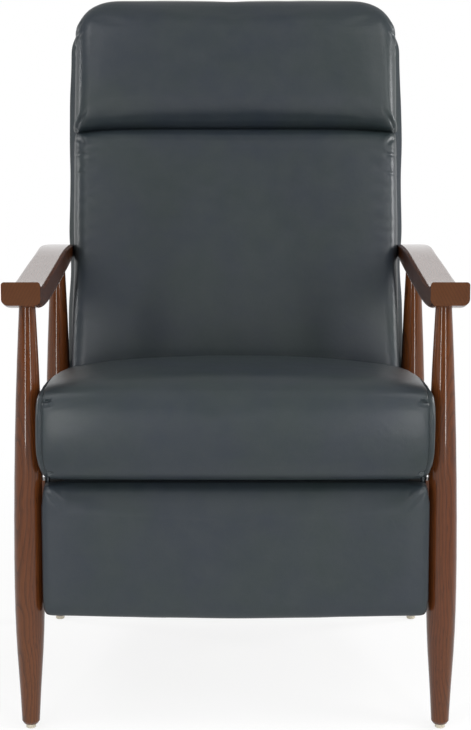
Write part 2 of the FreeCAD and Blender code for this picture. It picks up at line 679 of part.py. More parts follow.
lumbar_outline = [
    (22, -8),
    (22, BACK_FRONT_N),
    (150, BACK_FRONT_N),
    (215, 62),
    (330, 68),
    (470, 58),
    (HEAD_SEAM_S - 3, 30),
    (HEAD_SEAM_S - 3, -8),
]
lumbar = back_side_plate(lumbar_outline, -BACK_SEAM_X, BACK_SEAM_X, [4, 14, 30, 80, 200, 60, 14, 4])
# Below the seat the cushion narrows to pass between the side frames.
for side in (-1, 1):
    x0, x1 = sorted((side * 236.0, side * 290.0))
    notch = back_side_plate([(0, -30), (0, 60), (106, 60), (106, -30)], x0, x1)
    lumbar = lumbar.cut(notch)
keep("back_cushion", lumbar)

pillow_outline = [
    (HEAD_SEAM_S, -8),
    (HEAD_SEAM_S, 34),
    (560, 66),
    (625, 74),
    (700, 60),
    (BACK_TOP_S, 18),
    (BACK_TOP_S, -50),
    (BACK_TOP_S - 24, BACK_REAR_N + 7),
    (728, BACK_REAR_N + 7),
    (728, -8),
]
HEAD_HALF_X = BACK_SEAM_X + 4
pillow_radii = [4, 14, 40, 120, 60, 30, 30, 3, 3, 3]
head_pillow = back_side_plate(pillow_outline, -HEAD_HALF_X, HEAD_HALF_X, pillow_radii)
crown = [(-HEAD_HALF_X, HEAD_SEAM_S - 2), (HEAD_HALF_X, HEAD_SEAM_S - 2)]
crown += [(HEAD_HALF_X, BACK_TOP_S), (-HEAD_HALF_X, BACK_TOP_S)]
head_pillow = head_pillow.common(back_front_plate(crown, BACK_REAR_N, 90, [10.0, 10.0, 62.0, 62.0]))
keep("head_pillow", head_pillow)

# ---------------------------------------------------------------- files
os.makedirs("parts", exist_ok=True)
for name, solids in pieces.items():
    shape = solids[0] if len(solids) == 1 else Part.makeCompound(solids)
    shape = shape.copy()
    shape.translate(Vector(0, -ORIGIN_Y, 0))
    shape.exportStep("parts/" + name + ".step")
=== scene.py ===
"""Looks of a push-back recliner armchair: turned wooden legs and bent arms in a walnut stain under gloss
lacquer, slate leather over foam, and a black steel linkage below the seat.

The sections follow the chair as it is put together.  Lengths are in metres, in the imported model's frame:
Z up, the chair faces -Y.
"""

import json
import math

import bmesh
import bpy
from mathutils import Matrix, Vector, noise


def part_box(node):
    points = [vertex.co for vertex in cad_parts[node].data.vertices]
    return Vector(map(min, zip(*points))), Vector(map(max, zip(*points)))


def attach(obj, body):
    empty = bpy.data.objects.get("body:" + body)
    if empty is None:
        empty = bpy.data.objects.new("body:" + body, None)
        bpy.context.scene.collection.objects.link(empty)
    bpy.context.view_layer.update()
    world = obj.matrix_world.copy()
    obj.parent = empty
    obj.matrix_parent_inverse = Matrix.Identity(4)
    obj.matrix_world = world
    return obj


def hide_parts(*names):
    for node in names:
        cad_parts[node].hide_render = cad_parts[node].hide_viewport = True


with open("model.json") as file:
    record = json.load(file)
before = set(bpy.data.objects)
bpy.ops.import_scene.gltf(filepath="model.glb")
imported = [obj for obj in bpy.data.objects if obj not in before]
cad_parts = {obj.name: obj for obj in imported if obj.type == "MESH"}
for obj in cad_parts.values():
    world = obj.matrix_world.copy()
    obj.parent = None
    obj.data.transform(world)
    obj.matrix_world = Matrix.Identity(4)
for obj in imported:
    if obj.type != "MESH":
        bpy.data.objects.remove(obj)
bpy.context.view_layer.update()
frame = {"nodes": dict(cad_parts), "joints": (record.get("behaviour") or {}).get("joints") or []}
nodes = frame["nodes"]
scene = bpy.context.scene

# ---------------------------------------------------------------- camera and studio
# A long lens a little above arm height looks slightly down on the chair's front.  The chair stands in a
# white cove between two tall strip lights on the floor, under soft lights high on each side and above.
CAMERA_TILT = 9.02  # degrees below level


def placed(name, data):
    """New object of the scene."""
    thing = bpy.data.objects.new(name, data)
    scene.collection.objects.link(thing)
    return thing


camera_data = bpy.data.cameras.new("studio_camera")
camera_data.lens = 97.25
camera_data.sensor_width = 36.0
camera_data.shift_y = -0.123
scene.camera = placed("studio_camera", camera_data)
scene.camera.location = (0.0, -3.118, 1.120)
scene.camera.rotation_euler = (math.radians(90.0 - CAMERA_TILT), 0.0, 0.0)
scene.view_settings.view_transform = "Standard"


def linear(hex_colour):
    """sRGB hex to the linear RGBA that shaders take."""
    parts = [int(hex_colour[i:i + 2], 16) / 255 for i in (0, 2, 4)]
    return (*[c / 12.92 if c <= 0.04045 else ((c + 0.055) / 1.055) ** 2.4 for c in parts], 1.0)


def new_material(name):
    """Empty node material."""
    material = bpy.data.materials.new(name)
    material.use_nodes = True
    material.node_tree.nodes.clear()
    return material


def add(material, kind, inputs=None, **settings):
    """Add one node: settings are its own, inputs are values, other nodes' outputs, or other nodes, which
    stand for their first output in use."""
    node = material.node_tree.nodes.new("ShaderNode" + kind)
    for name, value in settings.items():
        setattr(node, name, value)
    for socket, value in (inputs or {}).items():
        if isinstance(value, bpy.types.Node):
            value = next(output for output in value.outputs if output.enabled)
        if isinstance(value, bpy.types.NodeSocket):
            material.node_tree.links.new(value, node.inputs[socket])
        else:
            node.inputs[socket].default_value = value
    return node


FLOOR_FRONT = 0.62  # how bright glossy surfaces see the floor before the chair; behind the chair it is 1
ROOM_FRONT = 0.06  # the same behind the camera, where the room counts from its own level up
ROOM_LEVEL = 0.40  # how bright the room is to surfaces without gloss
SHADOW_SHARE = 0.25  # of the floor's white under the chair, the part that is lit and so takes a shadow
FLOOR_LIGHT = 0.75  # how white the lights alone would make that part

ground = new_material("matte_white_studio_floor")
path = add(ground, "LightPath").outputs
spot = add(ground, "NewGeometry").outputs["Position"]
depth = add(ground, "SeparateXYZ", {"Vector": spot}).outputs["Y"]
aside = add(ground, "SeparateXYZ", {"Vector": spot}).outputs["X"]
aside = add(ground, "Math", {0: aside}, operation="ABSOLUTE")
behind = add(ground, "Math", {0: aside, 1: -2.0, 2: depth}, operation="MULTIPLY_ADD")
near = add(ground, "MapRange", {"Value": depth, "From Min": -4.2, "From Max": -2.6,
                                "To Min": ROOM_FRONT, "To Max": FLOOR_FRONT})
cove = add(ground, "MapRange", {"Value": behind, "From Min": 0.0, "From Max": 1.2, "To Min": near})
away = add(ground, "VectorMath", {0: spot}, operation="LENGTH").outputs["Value"]
shade = add(ground, "MapRange", {"Value": away, "From Min": 0.5, "From Max": 1.4,
                                 "To Min": SHADOW_SHARE, "To Max": 0.0})
lift = add(ground, "Math", {0: shade, 1: -FLOOR_LIGHT, 2: 1.0}, operation="MULTIPLY_ADD")
white = add(ground, "MapRange", {"Value": path["Is Camera Ray"], "To Min": cove, "To Max": lift})
floor_glow = add(ground, "Emission", {"Strength": white})
floor_catch = add(ground, "BsdfDiffuse", {"Color": shade})
floor_white = add(ground, "AddShader", {0: floor_glow, 1: floor_catch})
floor_paint = add(ground, "BsdfDiffuse", {"Color": linear("e4e4e3")})
seen = add(ground, "Math", {0: path["Is Camera Ray"], 1: path["Is Glossy Ray"]}, operation="MAXIMUM")
seen = add(ground, "Math", {0: seen, 1: path["Is Transmission Ray"]}, operation="MAXIMUM")
floor_mix = add(ground, "MixShader", {0: seen, 1: floor_paint, 2: floor_white})
add(ground, "OutputMaterial", {"Surface": floor_mix})
floor_mesh = bpy.data.meshes.new("studio_floor")
floor_mesh.from_pydata([(-12, -12, 0), (12, -12, 0), (12, 12, 0), (-12, 12, 0)], [], [(0, 1, 2, 3)])
floor_mesh.materials.append(ground)
placed("studio_floor", floor_mesh)

world = bpy.data.worlds.new("white_cove")
world.use_nodes = True
world.node_tree.nodes.clear()
path = add(world, "LightPath").outputs
toward = add(world, "TexCoord").outputs["Generated"]
ahead = add(world, "SeparateXYZ", {"Vector": toward}).outputs
aside = add(world, "Math", {0: ahead["X"]}, operation="ABSOLUTE")
narrow = add(world, "MapRange", {"Value": aside, "From Min": 0.32, "From Max": 0.16})
low = add(world, "MapRange", {"Value": ahead["Z"], "From Min": 0.34, "From Max": 0.22, "To Max": narrow})
behind = add(world, "MapRange", {"Value": ahead["Y"], "From Min": 0.0, "From Max": 0.4, "To Max": low})
cove = add(world, "MapRange", {"Value": behind, "To Min": ROOM_FRONT})
glossy = add(world, "Math", {0: path["Is Glossy Ray"], 1: cove}, operation="MULTIPLY")
seen = add(world, "Math", {0: path["Is Camera Ray"], 1: path["Is Transmission Ray"]}, operation="MAXIMUM")
seen = add(world, "Math", {0: seen, 1: glossy}, operation="MAXIMUM")
level = add(world, "MapRange", {"Value": seen, "To Min": ROOM_LEVEL})
surround = add(world, "Background", {"Color": (1, 1, 1, 1), "Strength": level})
add(world, "OutputWorld", {"Surface": surround})
scene.world = world


def softbox(name, place, target, width, height, watts):
    """Rectangular light aimed at a point of the chair."""
    lamp = bpy.data.lights.new(name, "AREA")
    lamp.shape = "RECTANGLE"
    lamp.size = width
    lamp.size_y = height
    lamp.energy = watts
    box = placed(name, lamp)
    box.location = place
    box.rotation_euler = (Vector(target) - Vector(place)).to_track_quat("-Z", "Y").to_euler()


softbox("key_left", (-1.75, -2.6, 2.3), (0, -0.1, 0.62), 0.6, 1.2, 7)
softbox("key_right", (1.6, -2.6, 2.3), (0, -0.1, 0.62), 0.6, 1.2, 6)
softbox("strip_left", (-1.04, -2.33, 0.63), (0, -0.3, 0.63), 0.22, 1.24, 11)
softbox("strip_right", (1.04, -2.33, 0.63), (0, -0.3, 0.63), 0.22, 1.24, 11)
softbox("top_left", (-1.3, -1.0, 2.9), (0, 0, 0.7), 0.7, 1.0, 10)
softbox("top_right", (1.3, -1.0, 2.9), (0, 0, 0.7), 0.7, 1.0, 10)
softbox("side_right", (2.3, -1.2, 1.7), (0, 0, 0.6), 0.8, 1.4, 12)
softbox("rim_left", (-2.2, 0.8, 0.95), (-0.27, 0.2, 0.8), 0.4, 0.9, 9)
softbox("rim_right", (2.2, 0.7, 0.95), (0.27, 0.2, 0.8), 0.6, 0.9, 18)

# ---------------------------------------------------------------- turned legs, arms and leg spacers
# Each leg is turned from a hardwood square, slim at both ends; the arms are shaped from plank on a spindle
# moulder.  All are sanded, wiped with a walnut stain that end grain drinks, and sprayed with gloss lacquer.
RING_SPACING = 0.0042
PORE_WIDTH = 0.0009  # real pores are finer; these are as coarse as they need to be to show
PORE_LENGTH = 0.030
WAVE_PERIOD = 0.314  # of a wave texture at scale 1
STAIN_RED = "5c2c11"
STAIN_GOLD = "6f3f18"
STAIN_DARK = "3b200f"
STAIN_PORE = "1e0f07"
STAIN_END = "553927"
DRIFTS_PER_M = 5.0  # how often the rings wander
BLOTCHES_PER_M = 22.0  # the stain takes unevenly in blotches of about 45 mm


def wear(material, *names):
    """Put a finished material on CAD pieces whose shape is right."""
    for name in names:
        nodes[name].data.materials.clear()
        nodes[name].data.materials.append(material)


def surfaced(material, colour, roughness, height, strength, distance, gloss=None):
    """End a material with its colour, its roughness, a bump of its height and what else its gloss has."""
    relief = add(material, "Bump", {"Height": height, "Strength": strength, "Distance": distance})
    skin = add(material, "BsdfPrincipled", {
        "Base Color": colour, "Roughness": roughness, "Normal": relief, **(gloss or {})})
    add(material, "OutputMaterial", {"Surface": skin})
    return material


def lacquered_wood(name, grain_axis, heart):
    """Walnut-stained hardwood: growth rings about a heart line, dark pores, a wet-looking clear coat."""
    wood = new_material(name)
    place = add(wood, "TexCoord").outputs["Object"]
    across = [0.0 if axis == grain_axis else 1.0 for axis in range(3)]
    along = [1.0 - a for a in across]
    stretched = [a + 0.06 * b for a, b in zip(across, along)]
    drift = add(wood, "TexNoise", {"Vector": place, "Scale": DRIFTS_PER_M, "Detail": 2.0})
    bent = add(wood, "VectorMath", {0: drift.outputs["Color"], 1: (0.5, 0.5, 0.5)}, operation="SUBTRACT")
    bent = add(wood, "VectorMath", {0: bent, "Scale": 0.035}, operation="SCALE")
    bent = add(wood, "VectorMath", {0: bent, 1: place}, operation="ADD")
    ringed = add(wood, "Mapping", {"Vector": bent, "Location": heart, "Scale": stretched})
    rings = add(wood, "TexWave", {"Vector": ringed, "Scale": WAVE_PERIOD / RING_SPACING,
                                  "Distortion": 1.2, "Detail": 2.0, "Detail Scale": 0.6},
                wave_type="RINGS", rings_direction="XYZ"[grain_axis], wave_profile="SAW")
    pored = add(wood, "Mapping", {"Vector": place, "Scale": [a / PORE_WIDTH + b / PORE_LENGTH
                                                             for a, b in zip(across, along)]})
    pores = add(wood, "TexNoise", {"Vector": pored, "Scale": 1.0, "Detail": 2.0, "Roughness": 0.6})
    tone = add(wood, "TexNoise", {"Vector": ringed, "Scale": BLOTCHES_PER_M, "Detail": 3.0})
    stain = add(wood, "Mix", {0: tone.outputs["Fac"], 6: linear(STAIN_RED), 7: linear(STAIN_GOLD)},
                data_type="RGBA")
    late = add(wood, "MapRange", {"Value": rings.outputs["Fac"], "From Min": 0.55, "To Max": 0.55})
    stain = add(wood, "Mix", {0: late, 6: stain, 7: linear(STAIN_DARK)}, data_type="RGBA")
    specks = add(wood, "MapRange", {"Value": pores.outputs["Fac"], "From Min": 0.56, "From Max": 0.72,
                                    "To Max": 0.65})
    stain = add(wood, "Mix", {0: specks, 6: stain, 7: linear(STAIN_PORE)}, data_type="RGBA")
    facing = add(wood, "NewGeometry").outputs["Normal"]
    ends = add(wood, "VectorMath", {0: facing, 1: along}, operation="DOT_PRODUCT")
    ends = add(wood, "Math", {0: ends.outputs["Value"]}, operation="ABSOLUTE")
    ends = add(wood, "MapRange", {"Value": ends, "From Min": 0.5, "To Max": 0.5})
    stain = add(wood, "Mix", {0: ends, 6: stain, 7: linear(STAIN_END)}, data_type="RGBA")
    dull = add(wood, "MapRange", {"Value": pores.outputs["Fac"], "To Min": 0.30, "To Max": 0.48})
    return surfaced(wood, stain, dull, pores.outputs["Fac"], 0.12, 0.0004, {
        "IOR": 1.5, "Specular IOR Level": 0.1, "Coat Weight": 0.85, "Coat Roughness": 0.07,
        "Coat IOR": 1.5})


leg_wood = lacquered_wood("walnut_stained_turned_hardwood_gloss_lacquer", 2, (0.05, 0.07, 0.0))
arm_wood = lacquered_wood("walnut_stained_shaped_plank_gloss_lacquer", 1, (0.0, 0.0, -0.52))
wear(leg_wood, "left_front_leg", "right_front_leg", "left_rear_leg", "right_rear_leg", "leg_spacers")
wear(arm_wood, "left_arm", "right_arm")

# ---------------------------------------------------------------- nylon glides and leg bolts
# A glide of moulded nylon, milky and softly shiny, is nailed under each leg.  Zinc-plated bolts, pale grey
# and dulled by handling, hold the legs to the side frames.
SMUDGES_PER_M = 14.0  # hands leave marks of about 70 mm


def plain_surface(name, colour, fleck, fleck_size, roughness, metallic=0.0, relief=0.1):
    """A hard finish with faint flecks in its colour, gloss and height, of one real size."""
    finish = new_material(name)
    place = add(finish, "TexCoord").outputs["Object"]
    flecks = add(finish, "TexNoise", {"Vector": place, "Scale": 1 / fleck_size, "Detail": 4.0})
    smudge = add(finish, "TexNoise", {"Vector": place, "Scale": SMUDGES_PER_M, "Detail": 3.0})
    paint = add(finish, "Mix", {0: flecks.outputs["Fac"], 6: linear(colour), 7: linear(fleck)},
                data_type="RGBA")
    gloss = add(finish, "MapRange", {"Value": smudge.outputs["Fac"], "From Min": 0.3, "From Max": 0.7,
                                     "To Min": roughness - 0.06, "To Max": roughness + 0.08})
    return surfaced(finish, paint, gloss, flecks.outputs["Fac"], relief, 0.0003, {"Metallic": metallic})


wear(plain_surface("moulded_cream_nylon", "e6dfcd", "d8cfba", 0.004, 0.38), "leg_glides")
zinc = plain_surface("zinc_plated_steel", "b9bab8", "9fa2a4", 0.0012, 0.34, metallic=1.0)
wear(zinc, "leg_bolts", "rail_screws", "plate_screws", "bracket_screws", "back_bracket_bolts",
     "linkage_pivot_bolts", "back_hinge_bolts", "crank_rivets", "coupler_rivets", "lug_rivets")

# ---------------------------------------------------------------- seat box frames and rails
# Plywood side frames stand between the legs, joined by hardwood rails.  Both are bare wood, pale and dull,
# and the plywood shows its plies where it is sawn.
PLY = 0.0015
VENEER_FIGURES_PER_M = (60.0, 9.0, 60.0)  # 17 mm across and 110 mm along the sheet
FIBRES_ACROSS_PER_M = 90.0
FIBRES_ALONG_PER_M = 6.0


def plywood(name, thickness_axis, painted_shade_depth=-1.0):
    """Rotary-cut birch plywood: veneer figure on the faces, light and dark plies on every sawn edge.
    What lies ahead of this depth is coloured near black as painted shade, so that the pale wood does not
    show in the dark gap at the footrest."""
    ply = new_material(name)
    place = add(ply, "TexCoord").outputs["Object"]
    depth = add(ply, "SeparateXYZ", {0: place}).outputs[thickness_axis]
    layer = add(ply, "Math", {0: depth, 1: math.pi / PLY}, operation="MULTIPLY")
    layer = add(ply, "Math", {0: layer}, operation="SINE")
    layer = add(ply, "MapRange", {"Value": layer, "From Min": -0.2, "From Max": 0.2})
    grained = add(ply, "Mapping", {"Vector": place, "Scale": VENEER_FIGURES_PER_M})
    figure = add(ply, "TexNoise", {"Vector": grained, "Scale": 1.0, "Detail": 5.0, "Distortion": 0.8})
    veneer = add(ply, "Mix", {0: figure.outputs["Fac"], 6: linear("c9a983"), 7: linear("a98458")},
                 data_type="RGBA")
    edge = add(ply, "Mix", {0: layer, 6: linear("bd9c72"), 7: linear("80603f")}, data_type="RGBA")
    facing = add(ply, "SeparateXYZ", {0: add(ply, "NewGeometry").outputs["Normal"]}).outputs[thickness_axis]
    flat = add(ply, "Math", {0: facing}, operation="ABSOLUTE")
    flat = add(ply, "Math", {0: flat, 1: 0.7}, operation="GREATER_THAN")
    wood = add(ply, "Mix", {0: flat, 6: edge, 7: veneer}, data_type="RGBA")
    # Painted shade: ahead of the given depth the wood turns near black, for the dark gap at the footrest.
    ahead = add(ply, "SeparateXYZ", {0: place}).outputs["Y"]
    ahead = add(ply, "Math", {0: ahead, 1: painted_shade_depth}, operation="LESS_THAN")
    wood = add(ply, "Mix", {0: ahead, 6: wood, 7: linear("17181a")}, data_type="RGBA")
    return surfaced(ply, wood, 0.62, figure.outputs["Fac"], 0.3, 0.0004)


def sawn_wood(name, grain_axis):
    """Planed but unfinished hardwood rail, with its grain along the rail."""
    rail = new_material(name)
    place = add(rail, "TexCoord").outputs["Object"]
    squeeze = [FIBRES_ALONG_PER_M if axis == grain_axis else FIBRES_ACROSS_PER_M for axis in range(3)]
    grained = add(rail, "Mapping", {"Vector": place, "Scale": squeeze})
    fibre = add(rail, "TexNoise", {"Vector": grained, "Scale": 1.0, "Detail": 6.0, "Roughness": 0.65})
    colour = add(rail, "Mix", {0: fibre.outputs["Fac"], 6: linear("b98f62"), 7: linear("8e6740")},
                 data_type="RGBA")
    return surfaced(rail, colour, 0.68, fibre.outputs["Fac"], 0.35, 0.0005)


# The side frames' front ends are coloured near black as painted shade for the gap at the footrest.
wear(plywood("birch_plywood_upright_painted_shade_front", 0, -0.331), "left_side_frame", "right_side_frame")
cross_wood = sawn_wood("planed_hardwood_across", 0)
wear(cross_wood, "rear_rail", "back_bottom_rail", "back_middle_rail", "back_top_rail")
wear(sawn_wood("planed_hardwood_upright", 2), "left_back_post", "right_back_post")

# ---------------------------------------------------------------- springs and their pad
# Flat sinuous springs of oiled wire, dark and satin, are clipped to the rails under a pad of needled felt,
# which is grey, fibrous and has no shine.
wire = plain_surface("oil_tempered_spring_wire", "6d6e70", "4c4d50", 0.002, 0.36, metallic=1.0)
wear(wire, "seat_springs", "back_springs", "seat_spring_clips")
felt = new_material("needled_grey_felt")
felt_place = add(felt, "TexCoord").outputs["Object"]
fibres = add(felt, "TexNoise", {"Vector": felt_place, "Scale": 1 / 0.002, "Detail": 6.0, "Roughness": 0.75})
felt_colour = add(felt, "Mix", {0: fibres.outputs["Fac"], 6: linear("4b4a47"), 7: linear("7f7c76")},
                  data_type="RGBA")
surfaced(felt, felt_colour, 0.95, fibres.outputs["Fac"], 0.8, 0.001, {"Sheen Weight": 0.3})
wear(felt, "seat_spring_pad")

# ---------------------------------------------------------------- steel linkage
# Blanked steel plates, cranks, links and brackets are powder coated black before they are riveted together.
# The coat is satin, with the fine ripple of orange peel.
black_steel = plain_surface("black_powder_coated_steel", "1b1c1e", "232426", 0.0011, 0.42, relief=0.35)
wear(black_steel, "left_mechanism_plate", "right_mechanism_plate", "left_rear_crank", "right_rear_crank",
     "crank_torque_tube", "left_front_crank", "right_front_crank", "left_coupler_link",
     "right_coupler_link", "coupler_cross_tube", "left_drag_link", "right_drag_link", "left_push_rod",
     "right_push_rod", "left_footrest_bracket", "right_footrest_bracket", "left_back_bracket",
     "right_back_bracket")

# ---------------------------------------------------------------- seat cushion
# A box cushion of foam in a leather cover.  One panel runs over the front and the top; a narrow boxing is
# sewn down each side, with a tuck where the seam turns at the top and the bottom of the front.
LEATHER_GRAIN = 0.0013  # the pebbles of a corrected grain, drawn as coarse as they need to be to show
LEATHER_CREASE = 0.016
CLOUDS_PER_M = 7.0  # the dye drifts between blue and green in clouds of about 140 mm
PATCHES_PER_M = 34.0  # and is rubbed paler in patches of about 30 mm
SWERVES_PER_M = 260.0  # the rows of pebbles swerve every 4 mm
SIM_FRAMES = 20
COVER_CLOTH = {"quality": 4, "mass": 0.3, "tension_stiffness": 15.0, "compression_stiffness": 15.0,
               "shear_stiffness": 5.0, "bending_stiffness": 0.6}

# Pigment under a thin clear finish: the hide looks slate blue, with broad soft lights and a fine grain.
leather = new_material("pigmented_slate_cowhide_semi_gloss")
hide = add(leather, "TexCoord").outputs["Object"]
cloud = add(leather, "TexNoise", {"Vector": hide, "Scale": CLOUDS_PER_M, "Detail": 4.0, "Roughness": 0.6})
patch = add(leather, "TexNoise", {"Vector": hide, "Scale": PATCHES_PER_M, "Detail": 5.0, "Roughness": 0.65})
greener = add(leather, "MapRange", {"Value": cloud.outputs["Fac"], "From Min": 0.38, "From Max": 0.62})
dye = add(leather, "Mix", {0: greener, 6: linear("2d353e"), 7: linear("2e383a")}, data_type="RGBA")
worn = add(leather, "MapRange", {"Value": patch.outputs["Fac"], "From Min": 0.35, "From Max": 0.75,
                                 "To Max": 0.45})
dye = add(leather, "Mix", {0: worn, 6: dye, 7: linear("3b4244")}, data_type="RGBA")
warp = add(leather, "TexNoise", {"Vector": hide, "Scale": SWERVES_PER_M, "Detail": 1.0})
pebble_place = add(leather, "Mix", {0: 0.0012, 4: hide, 5: warp.outputs["Color"]}, data_type="VECTOR")
pebbles = add(leather, "TexVoronoi", {"Vector": pebble_place, "Scale": 1 / LEATHER_GRAIN,
                                      "Randomness": 0.9}, feature="DISTANCE_TO_EDGE")
pebble_top = add(leather, "MapRange", {"Value": pebbles.outputs["Distance"], "From Max": 0.16})
creases = add(leather, "TexNoise", {"Vector": hide, "Scale": 1 / LEATHER_CREASE, "Detail": 5.0,
                                    "Roughness": 0.55, "Distortion": 0.4})
pores_dark = add(leather, "MapRange", {"Value": pebble_top, "To Min": 0.22, "To Max": 0.0})
dye = add(leather, "Mix", {0: pores_dark, 6: dye, 7: linear("1f2528")}, data_type="RGBA")
crease_bump = add(leather, "Bump", {"Height": creases.outputs["Fac"], "Strength": 0.35, "Distance": 0.0012})
grain_bump = add(leather, "Bump", {"Height": pebble_top, "Normal": crease_bump,
                                   "Strength": 0.22, "Distance": 0.00018})
gloss = add(leather, "MapRange", {"Value": patch.outputs["Fac"], "From Min": 0.3, "From Max": 0.7,
                                  "To Min": 0.37, "To Max": 0.45})
leather_skin = add(leather, "BsdfPrincipled", {
    "Base Color": dye, "Roughness": gloss, "Normal": grain_bump, "IOR": 1.5, "Specular IOR Level": 0.36,
    "Coat Weight": 0.25, "Coat Roughness": 0.28})
add(leather, "OutputMaterial", {"Surface": leather_skin})


def round_loop(points, steps=6):
    """Closed smooth curve through the points."""
    curve = []
    for i, here in enumerate(points):
        before, after, beyond = points[i - 1], points[(i + 1) % len(points)], points[(i + 2) % len(points)]
        for k in range(steps):
            t = k / steps
            curve.append(tuple(
                0.5 * (2 * b + (c - a) * t + (2 * a - 5 * b + 4 * c - d) * t ** 2
                       + (3 * b - a - 3 * c + d) * t ** 3)
                for a, b, c, d in zip(before, here, after, beyond)))
    return curve


def lofted(name, loops):
    """Closed skin through loops of equally many points, with both ends filled."""
    mesh = bpy.data.meshes.new(name)
    count = len(loops[0])
    faces = [tuple(range(count))[::-1], tuple(range(count * (len(loops) - 1), count * len(loops)))]
    for row in range(len(loops) - 1):
        for i in range(count):
            j = (i + 1) % count
            faces.append((row * count + i, row * count + j, (row + 1) * count + j, (row + 1) * count + i))
    mesh.from_pydata([point for loop in loops for point in loop], [], faces)
    return placed(name, mesh)


def mirrored(loops):
    """Loops from the middle to the right side, and their mirror images, in order from side to side."""
    return [[(-x, y, z) for x, y, z in loop] for loop in loops[:0:-1]] + loops


def applied(piece):
    """Turn what the modifiers make of a piece into its own mesh."""
    shaped = bpy.data.meshes.new_from_object(piece.evaluated_get(bpy.context.evaluated_depsgraph_get()))
    piece.modifiers.clear()
    piece.data = shaped


def netted(piece, spacing):
    """Give a piece an even net of faces to drape as cloth."""
    remesh = piece.modifiers.new("net", "REMESH")
    remesh.mode = "VOXEL"
    remesh.voxel_size = spacing
    applied(piece)


def stuffed(piece, held, pressure, reach, calm, spare=0.0):
    """Swell the cover over its foam as cloth under pressure; what is held is sewn or clamped in place.
    Firm foam irons wrinkles out: calm is how often each point's move is averaged with its neighbours'."""
    start = [vertex.co.copy() for vertex in piece.data.vertices]
    sewn = piece.vertex_groups.new(name="sewn")
    for i, place in enumerate(start):
        if held(place) > 0.0:
            sewn.add([i], held(place), "REPLACE")
    cloth = piece.modifiers.new("cover", "CLOTH")
    for setting, value in COVER_CLOTH.items():
        setattr(cloth.settings, setting, value)
    cloth.settings.shrink_min = -spare
    cloth.settings.vertex_group_mass = "sewn"
    cloth.settings.use_pressure = True
    cloth.settings.uniform_pressure_force = pressure
    cloth.settings.effector_weights.gravity = 0.0
    cloth.point_cache.frame_start = 1
    cloth.point_cache.frame_end = SIM_FRAMES
    for step in range(SIM_FRAMES):
        scene.frame_set(step + 1)
    blown = piece.evaluated_get(bpy.context.evaluated_depsgraph_get()).data
    moves = [vertex.co - first for vertex, first in zip(blown.vertices, start)]
    piece.modifiers.clear()
    piece.vertex_groups.clear()
    edges = [tuple(edge.vertices) for edge in piece.data.edges]
    for _ in range(calm):
        sums = [move.copy() for move in moves]
        counts = [1] * len(moves)
        for i, j in edges:
            sums[i] += moves[j]
            sums[j] += moves[i]
            counts[i] += 1
            counts[j] += 1
        moves = [total / count for total, count in zip(sums, counts)]
    for vertex, move in zip(piece.data.vertices, moves):
        if move.length > 0.0:
            move *= reach * math.tanh(move.length / reach) / move.length
        vertex.co += move * (1.0 - held(vertex.co))
    scene.frame_set(1)


def moved_in(piece, depth):
    """Press each point of a piece in by the depth that the rule gives for its place."""
    mesh = bmesh.new()
    mesh.from_mesh(piece.data)
    mesh.normal_update()
    shifts = [(vertex, vertex.normal * depth(vertex.co, vertex.normal)) for vertex in mesh.verts]
    for vertex, shift in shifts:
        vertex.co -= shift
    mesh.to_mesh(piece.data)
    mesh.free()


def refined(piece):
    """Split every face of a piece in four, rounding it, so that its seams and folds can be fine."""
    piece.modifiers.new("fine", "SUBSURF").levels = 1
    applied(piece)


def finer(piece, near):
    """Split the faces again where near says that a seam or a fold runs."""
    mesh = bmesh.new()
    mesh.from_mesh(piece.data)
    faces = [face for face in mesh.faces if near(face.calc_center_median())]
    edges = {edge for face in faces for edge in face.edges}
    bmesh.ops.subdivide_edges(mesh, edges=list(edges), cuts=1, use_grid_fill=True)
    mesh.to_mesh(piece.data)
    mesh.free()


def finished_leather(piece, body, *stands_for, fill=0.7, skin=leather):
    """Give a leather piece its material and smooth shading, hang it on its body, and hide the CAD parts it
    stands for.
    """
    piece.data.materials.clear()
    piece.data.materials.append(skin)
    piece.data.polygons.foreach_set("use_smooth", [True] * len(piece.data.polygons))
    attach(piece, body)
    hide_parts(*stands_for)


def bell(distance, width):
    """Smooth bump, 1 in the middle and 0 at the width."""
    return max(0.0, 1.0 - (distance / width) ** 2) ** 2


def step_up(value, start, end):
    """0 up to the start, 1 from the end on, smooth between them."""
    t = min(1.0, max(0.0, (value - start) / (end - start)))
    return t * t * (3 - 2 * t)


def fold_height(u, v, start, bend, end, width, side=1):
    """A fold of the cover along a curve: a crease, with a soft ridge on one side that is at most 1 high."""
    for value, *along in zip((u, v), start, bend, end):
        if min(along) - 3 * width > value or value > max(along) + 3 * width:
            return 0.0
    nearest, height = 1.0, 0.0
    for i in range(13):
        t = i / 12
        at_u, at_v = ((1 - t) ** 2 * a + 2 * t * (1 - t) * b + t * t * c
                      for a, b, c in zip(start, bend, end))
        away = math.hypot(u - at_u, v - at_v)
        if away < nearest:
            run_u, run_v = end[0] - start[0], end[1] - start[1]
            aside = side * ((u - at_u) * run_v - (v - at_v) * run_u) / math.hypot(run_u, run_v)
            ends = min(1.0, 4 * t + 0.3, 2.5 * (1 - t))
            nearest = away
            height = ends * (0.7 * bell(aside - 1.3 * width, 1.5 * width) - bell(aside, width))
            if t in (0.0, 1.0):
                height *= bell(away - abs(aside), 2 * width)
    return height


